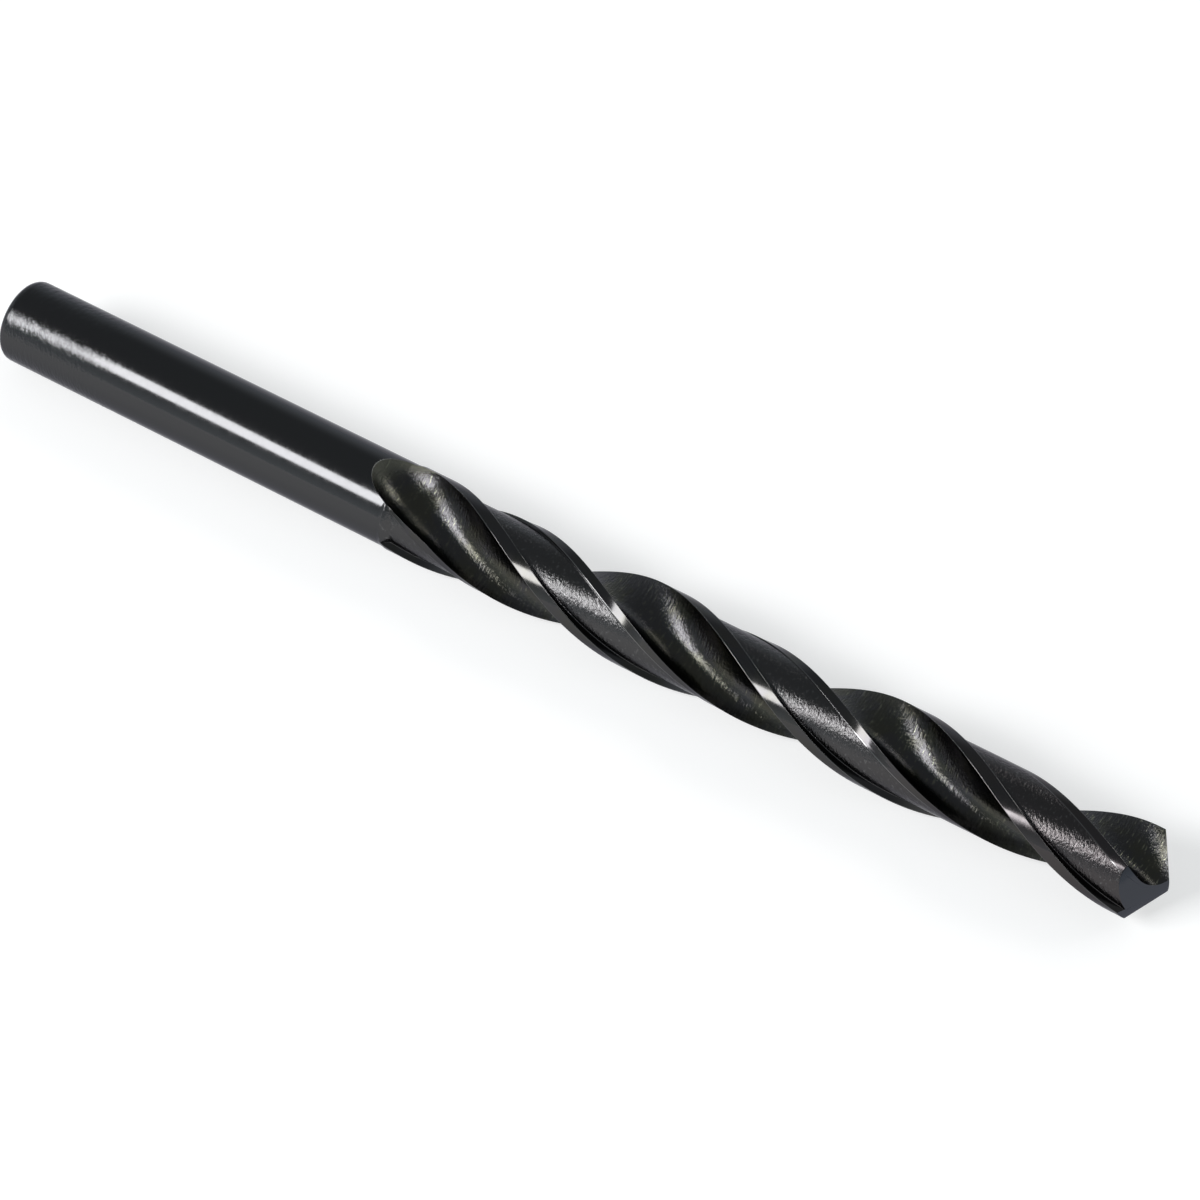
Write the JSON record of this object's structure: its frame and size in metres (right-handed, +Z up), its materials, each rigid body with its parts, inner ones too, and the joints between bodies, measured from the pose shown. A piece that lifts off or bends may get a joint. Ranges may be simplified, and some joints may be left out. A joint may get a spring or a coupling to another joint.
{
  "type": "twist drill bit",
  "caption": "Straight-shank twist drill bit in dark oxide-finished steel, with right-hand helical flutes, narrow ground margins and a conical point.",
  "frame": {"origin": "centre of the shank's flat end face, on the drill's axis", "axes": "+X along the drill's axis from the shank's end towards the point, +Z up with the drill lying flat"},
  "size_m": [0.117, 0.008, 0.008],
  "materials": {
    "black_oxide_steel": "satin"
  },
  "bodies": {
    "root": {"twist_drill": "black_oxide_steel"}
  },
  "joints": []
}
